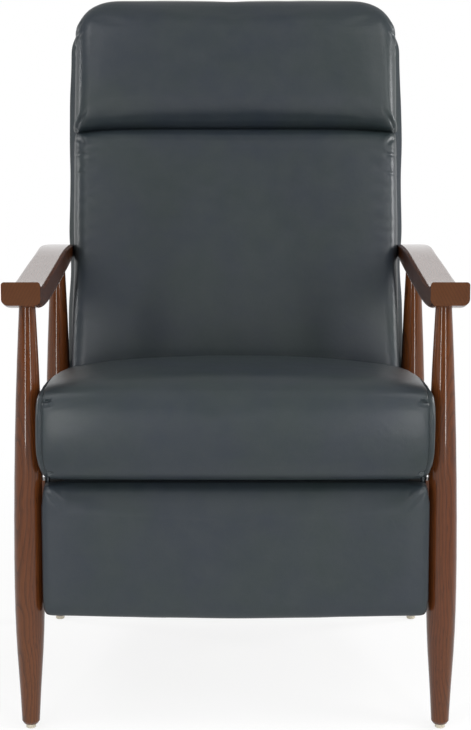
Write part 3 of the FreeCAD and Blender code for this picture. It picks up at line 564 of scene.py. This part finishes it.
cushion_low, cushion_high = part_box("seat_cushion")
SEAT_HALF = 0.2848  # widest, ahead of the front legs
SEAT_SEAM = 0.2770
SEAT_BESIDE_LEG = 0.2780
SEAT_DROP_FRONT = 0.0105  # the side seams lie this much below the middle at the front
SEAT_DROP_REAR = 0.030
SEAT_SIDE_SETBACK = 0.014
SEAT_REST = 0.05  # this far behind its front the cushion begins to lie on its frame
SEAT_EASE = 0.003  # over this length its sides give way to the legs
leg_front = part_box("right_front_leg")[0].y
seat_front = cushion_low.y + 0.003
seat_floor = cushion_low.z + 0.010
seat_profile = [(seat_front + y, seat_floor + z) for y, z in (
    (0.046, -0.0135), (0.030, -0.0138), (0.0160, -0.0060), (0.0070, 0.0090), (0.0016, 0.032),
    (0.0005, 0.070), (0.006, 0.103), (0.024, 0.125), (0.060, 0.1330), (0.130, 0.1300), (0.220, 0.1205),
    (0.338, 0.1030), (0.420, 0.0860))]
seat_profile += [(cushion_high.y - y, seat_floor + z) for y, z in (
    (0.008, 0.068), (0.014, 0.040), (0.030, 0.001))]
seat_profile += [(seat_front + y, seat_floor) for y in (0.300, 0.078)]


def seat_drawn_in(z):
    """How far the sides turn in at the bottom and the top of the cushion."""
    low = max(0.0, 1.0 - (z - seat_floor + 0.0140) / 0.045)
    high = max(0.0, (z - seat_floor - 0.092) / 0.030)
    return 0.0095 * low ** 1.8 + 0.0035 * high * high


def seat_section(x, crown, inset):
    """The cushion's outline at x: crown is 1 in the middle and 0 at the seams."""
    loop = []
    for y, z in round_loop(seat_profile):
        high = max(0.0, (z - seat_floor) / 0.125)
        forward = max(0.0, 1.0 - (y - seat_front) / 0.06)
        back = min(1.0, max(0.0, (y - seat_front - 0.02) / 0.36))
        drop = SEAT_DROP_FRONT + (SEAT_DROP_REAR - SEAT_DROP_FRONT) * back ** 0.7
        z -= drop * (1.0 - crown) * high
        y += SEAT_SIDE_SETBACK * (1.0 - crown) * forward
        centre_y, centre_z = 0.5 * (seat_front + cushion_high.y), seat_floor + 0.06
        y += inset * (1 if y < centre_y else -1) * min(1.0, abs(y - centre_y) / 0.05)
        z += inset * (1 if z < centre_z else -1) * min(1.0, abs(z - centre_z) / 0.03)
        loop.append((x - seat_drawn_in(z) * (x / SEAT_HALF) ** 5, y, z))
    return loop


seat_stations = [(SEAT_SEAM * math.sin(math.radians(a)), math.cos(math.radians(a)) ** 1.15, 0.0)
                 for a in range(0, 91, 6)]
seat_stations += [(SEAT_SEAM + 0.003, -0.02, 0.0003), (SEAT_HALF - 0.0015, -0.03, 0.002),
                  (SEAT_HALF + 0.0005, -0.03, 0.008)]
seat = lofted("seat_cushion_cover", mirrored([seat_section(*station) for station in seat_stations]))
netted(seat, 0.006)


def off_side_seam(place):
    """How far outside the cushion's side seam a point lies."""
    return abs(place.x) + seat_drawn_in(place.z) - SEAT_SEAM


def seat_sewn(place):
    """The bottom and the rear rest on the frame and the back; the side seams are sewn."""
    if place.z < seat_floor + 0.012 and place.y > seat_front + SEAT_REST:
        return 1.0
    if place.y > cushion_high.y - 0.02:
        return 1.0
    return bell(off_side_seam(place), 0.008)


stuffed(seat, seat_sewn, pressure=4.0, reach=0.004, calm=12)
refined(seat)
finer(seat, lambda p: abs(off_side_seam(p)) < 0.007
      or p.y < seat_front + 0.05 and abs(p.x) > 0.250 and (p.z > 0.490 or p.z < 0.412))
SEAT_TUCKS = [  # creases at the corners of the front, as (x, z) from the seam inwards
    ((0.2725, 0.5050), (0.2680, 0.5035), (0.2610, 0.5075), 0.0034, -1, 0.0042),
    ((0.2700, 0.4010), (0.2655, 0.3985), (0.2600, 0.4000), 0.0030, -1, 0.0030),
]


def seat_relief(place, normal):
    """A groove at the side seams, tucks at the corners of the front, and the slight unevenness of foam."""
    groove = 0.0034 * bell(off_side_seam(place), 0.0030)
    if place.z < seat_floor + 0.010 and place.y > seat_front + SEAT_REST:
        groove = 0.0
    relief = groove + 0.0008 * noise.noise(place * 8.0)
    if normal.y < -0.2:
        for *curve, height in SEAT_TUCKS:
            relief -= height * fold_height(abs(place.x), place.z, *curve)
    return relief


moved_in(seat, seat_relief)
for vertex in seat.data.vertices:
    behind_front = step_up(vertex.co.y, leg_front - 0.016, leg_front + 0.004)
    free = SEAT_HALF + 0.002 + (SEAT_BESIDE_LEG - SEAT_HALF - 0.002) * behind_front - SEAT_EASE
    past = abs(vertex.co.x) - free
    if past > 0.0:
        vertex.co.x = math.copysign(free + SEAT_EASE * math.tanh(past / SEAT_EASE), vertex.co.x)
finished_leather(seat, "base", "seat_cushion")

# ---------------------------------------------------------------- footrest pad
# The front panel: foam on a board in one piece of leather, drawn over the edges and stapled behind.  The
# leather is mitred at the top corners, so the soft top edge dies away towards each side.
pad_low, pad_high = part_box("footrest_pad")
board_low, board_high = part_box("footrest_board")
PAD_ROLL = 0.042
PAD_SAG = 0.005
PAD_CORNER = 0.0045
LIP = 0.012
LIP_THICKNESS = 0.0006
PAD_SHADOW_GAP = 0.0015  # between the pad's sides and the side panels
pad_rear = board_high.y + LIP_THICKNESS
pad_half = pad_high.x - 0.0015
pad_side_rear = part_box("right_side_panel")[0].y - PAD_SHADOW_GAP


def pad_section(x, inset):
    """Outline of the footrest pad at x, drawn in near its two sides."""
    to_side = pad_half - abs(x)
    roll = min(PAD_ROLL, 0.008 + 1.05 * to_side)
    front = pad_low.y + 0.003 + inset
    beside_board = step_up(abs(x), board_high.x - 0.006, board_high.x + 0.004)
    rear = pad_rear + (pad_side_rear - pad_rear) * beside_board
    top = pad_high.z - 0.2 * inset
    low = pad_low.z + PAD_SAG * (x / pad_half) ** 2 + 0.3 * inset
    middle = 0.5 * (top + low)
    outline = round_loop([
        (rear, low + 0.004), (rear, middle - 0.05), (rear, middle + 0.05), (rear, top - 0.004),
        (rear - 0.004, top), (front + 0.54 * roll, top - 0.0005), (front + 0.32 * roll, top - 0.13 * roll),
        (front + 0.14 * roll, top - 0.43 * roll), (front + 0.035 * roll, top - 0.78 * roll),
        (front, top - 1.15 * roll), (front, middle - 0.02), (front + 0.001, low + 0.020),
        (front + 0.004, low + 0.005), (front + 0.010, low), (rear - 0.004, low)], 5)
    loop = []
    for y, z in outline:
        corner = max(0.0, (z - top) / 0.024 + 1.0, (low - z) / 0.020 + 0.7) ** 2
        loop.append((x - PAD_CORNER * corner * (x / pad_half) ** 5, y, z))
    return loop


pad_stations = [(0.02 * i, 0.0) for i in range(12)]
pad_stations += [(pad_half - d, 0.0) for d in (0.045, 0.035, 0.026, 0.018)]
pad_stations += [(pad_half - 0.010, 0.0005), (pad_half - 0.005, 0.0015), (pad_half - 0.001, 0.005),
                 (pad_half + 0.0005, 0.011)]
footrest = lofted("footrest_pad_cover", mirrored([pad_section(*station) for station in pad_stations]))
netted(footrest, 0.005)
stuffed(footrest, lambda p: 1.0 if p.y > pad_rear - 0.012 else bell(pad_half - abs(p.x), 0.006),
        pressure=3.0, reach=0.002, calm=10)
refined(footrest)


def pad_relief(place, normal):
    """The slight unevenness of foam, and the mitre that folds each top corner."""
    if normal.y > -0.2:
        return 0.0
    corner = [(pad_half - x, pad_high.z - z) for x, z in ((0.004, 0.004), (0.018, 0.017), (0.034, 0.034))]
    mitre = fold_height(abs(place.x), place.z, *corner, 0.0045)
    return 0.0008 * noise.noise(place * 10.0) - 0.0014 * mitre


moved_in(footrest, pad_relief)
for vertex in footrest.data.vertices:
    within = abs(vertex.co.x) < board_high.x - LIP and board_low.z + LIP < vertex.co.z < board_high.z - LIP
    if within and vertex.co.y > pad_rear - 0.006:
        vertex.co.y = board_low.y + 0.003
finished_leather(footrest, "footrest", "footrest_pad", fill=0.6)
wear(plywood("birch_plywood_footrest", 1), "footrest_board")
wear(plain_surface("moulded_black_rubber", "16161a", "202024", 0.002, 0.66), "footrest_bumpers")

# ---------------------------------------------------------------- back cushion
# The long front panel of the back, blown up with fibre over foam.  It is sewn to the padded sides along
# both edges and to the head pillow above, so it rolls in all round, and the seams draw small puckers in it.
hinge = next(joint for joint in frame["joints"] if joint["name"] == "back_recline")["pos_m"]
LEAN = math.radians(17.0)
ARM_END = 0.300  # the arms' rear ends stand beside the back here
PANEL_SEAM = 0.5165
MITRE = 4.0  # higher is a sharper mitre where the rolls of the top, the bottom and the sides meet
ROLL_SLOPE = 0.075  # past the roll the panel still rises a little this far in
SEAM_ALLOWANCE = 0.0012  # the panels reach this far past their side seams
SEAM_BAND = 0.045  # the side seams hold the cover still within this distance
CORNER_WIDE = 0.078  # of the rounded top corners
CORNER_HIGH = 0.080
CORNER_SHAPE = 2.4  # 2 is an ellipse, more is squarer
CORNER_BAND = 0.16  # the rounding shifts this much of the pillow below its top
TOP_ARCH = 0.0035


def back_place(x, s, n):
    """Point of the back: s up along it from the hinge, n forward of the hinge line."""
    return (x, hinge[1] + s * math.sin(LEAN) - n * math.cos(LEAN),
            hinge[2] + s * math.cos(LEAN) + n * math.sin(LEAN))


def back_local(place):
    """The same point as (x, s, n)."""
    y, z = place.y - hinge[1], place.z - hinge[2]
    return place.x, y * math.sin(LEAN) + z * math.cos(LEAN), z * math.sin(LEAN) - y * math.cos(LEAN)


def seam_x(s):
    """Side seam of the front panels, drawn in beside the arms' rear ends."""
    return 0.2735 - 0.0015 * bell(s - ARM_END, 0.07)


def seam_rise(x):
    """The seam between the two panels runs straight, but dips to its two ends."""
    return 0.0096 * (1.0 - min(1.0, abs(x) / 0.277) ** 7)


def pillow(name, profile, crown, roll, top_s=0.0):
    """A stuffed panel of the back: its (s, n) profile, of the fullness crown, rolls in to both side seams.
    The roll and the profile meet in a mitre, and where its top is given, its top corners are rounded."""
    loops = []
    for angle in range(-90, 91, 4):
        u = math.sin(math.radians(angle))
        u = math.copysign(abs(u) ** 0.85, u)
        loop = []
        for s, n in round_loop(profile, 5):
            half = seam_x(s) + SEAM_ALLOWANCE
            x = half * u
            inner = 1.0 - min(1.0, (half - abs(x)) / roll)
            slope = 1.0 - min(1.0, (half - abs(x)) / ROLL_SLOPE)
            rolled = crown * (0.86 * math.sqrt(1.0 - inner ** 2) + 0.14 * (1.0 - slope ** 2))
            if n > 0.0:
                n = (n ** -MITRE + max(rolled, 0.0001) ** -MITRE) ** (-1 / MITRE)
            s += seam_rise(x) * bell(s - PANEL_SEAM, 0.09)
            if top_s:
                past = max(0.0, (abs(x) - half) / CORNER_WIDE + 1.0)
                drop = CORNER_HIGH * (1.0 - max(0.0, 1.0 - past ** CORNER_SHAPE) ** (1 / CORNER_SHAPE))
                drop += TOP_ARCH * (x / half) ** 2
                s -= drop * min(1.0, max(0.0, (s - (top_s - CORNER_BAND)) / CORNER_BAND)) ** 1.5
            loop.append(back_place(x, s, n))
        loops.append(loop)
    return lofted(name, loops)


back_cushion = pillow("back_cushion_cover", [
    (0.030, 0.030), (0.100, 0.036), (0.160, 0.045), (0.235, 0.056), (0.330, 0.059), (0.420, 0.058),
    (0.480, 0.053), (0.505, 0.044), (0.5145, 0.026), (0.5145, -0.002), (0.400, -0.006), (0.250, -0.006),
    (0.120, -0.006), (0.030, -0.006)], crown=0.058, roll=0.024)
netted(back_cushion, 0.006)


def seams_hold(x, s, n, seam_s):
    """How firmly the side seams, and the seam between the panels, hold a point of a front panel."""
    between = bell(s - seam_rise(x) - seam_s, 0.008) if n < 0.03 else 0.0
    return max(bell(abs(x) - seam_x(s), SEAM_BAND), between)


def back_sewn(place):
    """The rear lies on the springs, and the low end is held within the legs; the edges are sewn."""
    x, s, n = back_local(place)
    return 1.0 if n < 0.002 or s < 0.13 else seams_hold(x, s, n, 0.514)


stuffed(back_cushion, back_sewn, pressure=4.0, reach=0.004, calm=10)
refined(back_cushion)
finer(back_cushion, lambda p: abs(p.x) > 0.235 and back_local(p)[1] > 0.43)
PUCKER = 0.026  # from one pucker of the side seams to the next
BACK_FOLDS = [  # at the ends of the seam below the head pillow, as (x, s) from the corner
    ((0.2700, 0.5090), (0.2620, 0.5060), (0.2540, 0.4900), 0.0060, 1, 0.0018),
    ((0.2700, 0.4800), (0.2600, 0.4780), (0.2480, 0.4790), 0.0045, 1, 0.0011),
    ((0.2700, 0.4470), (0.2600, 0.4460), (0.2500, 0.4465), 0.0045, 1, 0.0008),
]


def back_relief(place, normal):
    """Puckers that the side seams draw, folds from the upper corners, and the unevenness of fibre."""
    x, s, n = back_local(place)
    if n < 0.0:
        return 0.0
    across = abs(x)
    wave = math.sin(2 * math.pi * s / PUCKER + 4.0 * noise.noise(Vector((x * 3, s * 18, 1.0))))
    near_seam = bell(seam_x(s) - 0.022 - across, 0.026)
    relief = 0.0006 * wave * near_seam * step_up(s, 0.26, 0.40)
    relief += 0.0010 * noise.noise(place * 7.0)
    for *curve, height in BACK_FOLDS:
        relief -= height * fold_height(across, s, *curve)
    return relief


moved_in(back_cushion, back_relief)
finished_leather(back_cushion, "back", "back_cushion", fill=0.75)

# ---------------------------------------------------------------- head pillow
# A fuller pillow above the lumbar panel.  Its cover hangs over the seam, runs over the top of the back and
# down behind it, and is gathered at both ends of the seam and round both top corners.
HEAD_TOP = 0.7605
head = pillow("head_pillow_cover", [
    (0.5185, -0.002), (0.5185, 0.020), (0.526, 0.044), (0.556, 0.063), (0.606, 0.070), (0.662, 0.066),
    (0.716, 0.052), (0.750, 0.026), (HEAD_TOP, -0.010), (0.757, -0.052), (0.745, -0.080), (0.7345, -0.091),
    (0.7295, -0.084), (0.729, -0.040), (0.7285, -0.012), (0.700, -0.007), (0.620, -0.007), (0.540, -0.006)],
    crown=0.071, roll=0.027, top_s=HEAD_TOP)
netted(head, 0.006)


def head_sewn(place):
    """The rear lies on the frame and is sewn to the outside back; the other edges are sewn too."""
    x, s, n = back_local(place)
    return 1.0 if n < 0.0 and s < 0.735 or n < -0.075 else seams_hold(x, s, n, 0.518)


stuffed(head, head_sewn, pressure=4.0, reach=0.005, spare=0.001, calm=4)
refined(head)
finer(head, lambda p: abs(p.x) > 0.225 and (back_local(p)[1] < 0.585 or back_local(p)[1] > 0.645))
HEAD_FOLDS = [  # at the top corners and at the lower corners, as (x, s) from the seam inwards
    ((0.2755, 0.6680), (0.2715, 0.6800), (0.2590, 0.6905), 0.0036, 1, 0.0026),
    ((0.2730, 0.6860), (0.2690, 0.6980), (0.2600, 0.7130), 0.0032, 1, 0.0018),
    ((0.2745, 0.6520), (0.2710, 0.6600), (0.2650, 0.6660), 0.0036, 1, 0.0008),
    ((0.2735, 0.5160), (0.2660, 0.5340), (0.2500, 0.5540), 0.0045, 1, 0.0022),
]


def head_relief(place, normal):
    """Folds that the seams gather, and the slight unevenness of fibre."""
    x, s, n = back_local(place)
    if n < -0.03 and s < 0.73:
        return 0.0
    relief = 0.0010 * noise.noise(place * 7.0)
    if normal.y < 0.1:
        for *curve, height in HEAD_FOLDS:
            relief -= height * fold_height(abs(x), s, *curve)
    return relief


moved_in(head, head_relief)
finished_leather(head, "back", "head_pillow", fill=0.8)

# ---------------------------------------------------------------- padded sides of the back
# A strip of leather over padding down each side, sewn to the front panels and to the outside back.  It is
# drawn in between the arms and swells above and below them.
boxing_low, boxing_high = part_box("right_back_boxing")
BOXING_BOTTOM = 0.109
BOXING_TOP = 0.7225
BOXING_STATIONS = [BOXING_BOTTOM, 0.113, 0.122] + [0.14 + 0.02 * i for i in range(27)]
BOXING_STATIONS += [0.670, 0.680, 0.689, 0.697, 0.704, 0.710, 0.715, 0.719, 0.7215]
BOXING_INNER = boxing_low.x
BOXING_END = 0.010  # over this length each end narrows to its seam
BESIDE_ARM_X = 0.2725
BACK_REAR = -0.0905  # the plane behind the frame where the outside back is sewn on

# Split hide has no coat over its pigment, so the sides look matt beside the front.
split = leather.copy()
split.name = "pigmented_slate_split_hide_matt"
for node in split.node_tree.nodes:
    if node.type == "BSDF_PRINCIPLED":
        node.inputs["Coat Weight"].default_value = 0.0
        node.inputs["Specular IOR Level"].default_value = 0.10


def corner_cut(past, radius):
    """How far a rounded corner of this radius turns in, this far past where it starts."""
    return radius - math.sqrt(max(0.0, radius ** 2 - past ** 2))


def boxing_outer(s, n=-0.045):
    """Half width of the back at s and n: full above the arms, narrower within the legs, with its front edge
    drawn in beside the legs and the arms' rear ends."""
    forward = min(1.0, max(0.0, (n + 0.050) / 0.020))
    swell = step_up(s, 0.150, 0.190)
    low = 0.2785 + (0.0080 - 0.0065 * forward) * swell
    low += 0.0070 * (1.0 - forward) * (step_up(s, 0.106, 0.126) - swell)
    full = boxing_high.x + 0.0040 + 0.0022 * bell(s - 0.56, 0.11)
    x = low + (full - low) * step_up(s, ARM_END, ARM_END + 0.045)
    x -= (x - BESIDE_ARM_X) * bell(s - ARM_END, 0.062) * forward
    return x - corner_cut(max(0.0, s - 0.676), 0.050)


def boxing_loop(s, side):
    """Outline of one padded side at s, from its inner edge round the front seam to the rear seam."""
    outer, forward = boxing_outer(s), boxing_outer(s, 0.0)
    shrink = max(0.0, BOXING_END - (s - BOXING_BOTTOM), BOXING_END - (BOXING_TOP - s))
    shrink = 0.006 * (shrink / BOXING_END) ** 2
    rear, front = BACK_REAR + shrink, -shrink
    seam = min(seam_x(s), forward)
    return [back_place(side * x, s, n) for x, n in round_loop([
        (BOXING_INNER, rear), (BOXING_INNER, -0.045), (BOXING_INNER, front - 0.004),
        (BOXING_INNER + 0.014, front), (seam - 0.004, front), (seam + 0.001, front - 0.007),
        (0.5 * (seam + outer), front - 0.020), (outer - 0.0004, front - 0.036), (outer, -0.055),
        (outer - 0.001, rear + 0.018), (outer - 0.005, rear + 0.003), (outer - 0.016, rear)], 4)]


for side, label in ((-1, "left"), (1, "right")):
    boxing = lofted(label + "_back_boxing_cover", [boxing_loop(s, side) for s in BOXING_STATIONS][::side])
    refined(boxing)
    moved_in(boxing, lambda place, normal:
             0.0010 * noise.noise(place * 16.0) * min(1.0, abs(normal.x) * 1.5))
    finished_leather(boxing, "back", label + "_back_boxing", fill=0.5, skin=split)

# ---------------------------------------------------------------- outside back
# One flat panel of leather closes the back of the chair from the hinge line to the pillow, over a thin
# wadding, with its edges turned in and blind-tacked.
OUTSIDE_THICKNESS = 0.006
OUTSIDE_BOTTOM = -0.056
OUTSIDE_TOP = 0.731
TOP_RADIUS = 0.055
BOTTOM_RADIUS = 0.008
NECK_X = 0.234  # half width below the padded sides, between the legs
NECK_END = 0.10
TURNED_IN = 0.010  # over this width the wadding thins out to the edge


def rounded_edge(t):
    """Height of a quarter-round edge: 0 at the edge, 1 from t = 1 on."""
    return math.sqrt(max(0.0, 1.0 - (1.0 - min(1.0, max(t, 0.0))) ** 2))


def outside_half_width(s):
    """Half width of the outside back at s: narrow below the padded sides, then as wide as they are."""
    edge = NECK_X
    if s >= NECK_END:
        edge += (boxing_outer(s) - 0.004 - NECK_X) * min(1.0, (s - NECK_END) / 0.012)
    past = max(0.0, s - (OUTSIDE_TOP - TOP_RADIUS), (OUTSIDE_BOTTOM + BOTTOM_RADIUS) - s)
    return edge - corner_cut(past, TOP_RADIUS if s > 0.3 else BOTTOM_RADIUS)


outside_stations = [-0.0595, -0.057, -0.052] + [-0.04 + 0.014 * i for i in range(10)]
outside_stations += [0.098, 0.103, 0.108] + [0.115 + 0.015 * i for i in range(38)]
outside_stations += [0.684, 0.696, 0.708, 0.718, 0.725, 0.7305]


def outside_loop(s):
    """Outline of the outside back at s: flat in front, padded behind, thin at its edges."""
    half = outside_half_width(s)
    columns = [half * math.sin(math.radians(a)) for a in range(-90, 91, 6)]
    rear = []
    for x in columns:
        to_edge = min(half - abs(x), s + 0.060, 0.7315 - s)
        rear.append(back_place(x, s, BACK_REAR - OUTSIDE_THICKNESS * rounded_edge(to_edge / TURNED_IN)))
    return rear + [back_place(x, s, BACK_REAR) for x in columns[::-1]]


outside = lofted("outside_back_cover", [outside_loop(s) for s in outside_stations])
refined(outside)
moved_in(outside, lambda place, normal:
         0.0016 * noise.noise(place * 5.0) + 0.0005 * noise.noise(place * 23.0))
finished_leather(outside, "back", "outside_back_panel", fill=0.3)

# ---------------------------------------------------------------- leather side panels of the seat box
# Leather over thin padding covers the outside of each plywood side frame, between the legs.  Its edges are
# turned in all round.
panel_low, panel_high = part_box("right_side_panel")
LEG_SWELL = 0.0042  # the padding swells against the back of the front leg
PANEL_EDGE = 0.010  # over this length its ends round off
PANEL_INSET = 0.0005
panel_span = panel_high.y - panel_low.y


def panel_loop(y, side):
    """Upright outline of a side panel at depth y: flat inside, padded outside, thin at its edges."""
    puff = rounded_edge(min(y - panel_low.y, panel_high.y - y) / PANEL_EDGE)
    trim = PANEL_EDGE * (1.0 - puff)
    low, high = panel_low.z + PANEL_INSET + trim, panel_high.z - PANEL_INSET - trim
    outer = panel_high.x + LEG_SWELL * bell(y - panel_low.y - 0.022, 0.045)
    inner = panel_low.x + PANEL_INSET
    skin = inner + (outer - inner) * (0.35 + 0.65 * puff)
    heights = [low + (high - low) * k / 12 for k in range(13)]
    padded = [inner + 0.002 + (skin - inner - 0.002) * rounded_edge(min(z - low, high - z) / 0.008)
              for z in heights]
    flat = [(side * inner, y, z) for z in heights[::-1]]
    return [(side * x, y, z) for x, z in zip(padded, heights)] + flat


for side, label in ((-1, "left"), (1, "right")):
    loops = []
    for i in range(45):
        along = 0.5 - 0.5 * math.cos(math.pi * i / 44)
        loops.append(panel_loop(panel_low.y + 0.0005 + (panel_span - 0.001) * along, side))
    panel = lofted(label + "_side_panel_cover", loops[::side])
    refined(panel)
    moved_in(panel, lambda place, normal: 0.0007 * abs(normal.x) * noise.noise(place * 12.0))
    finished_leather(panel, "base", label + "_side_panel", fill=0.3)

# The front rail, seen when the footrest is out, is wrapped in the same leather.
wear(leather, "front_rail")
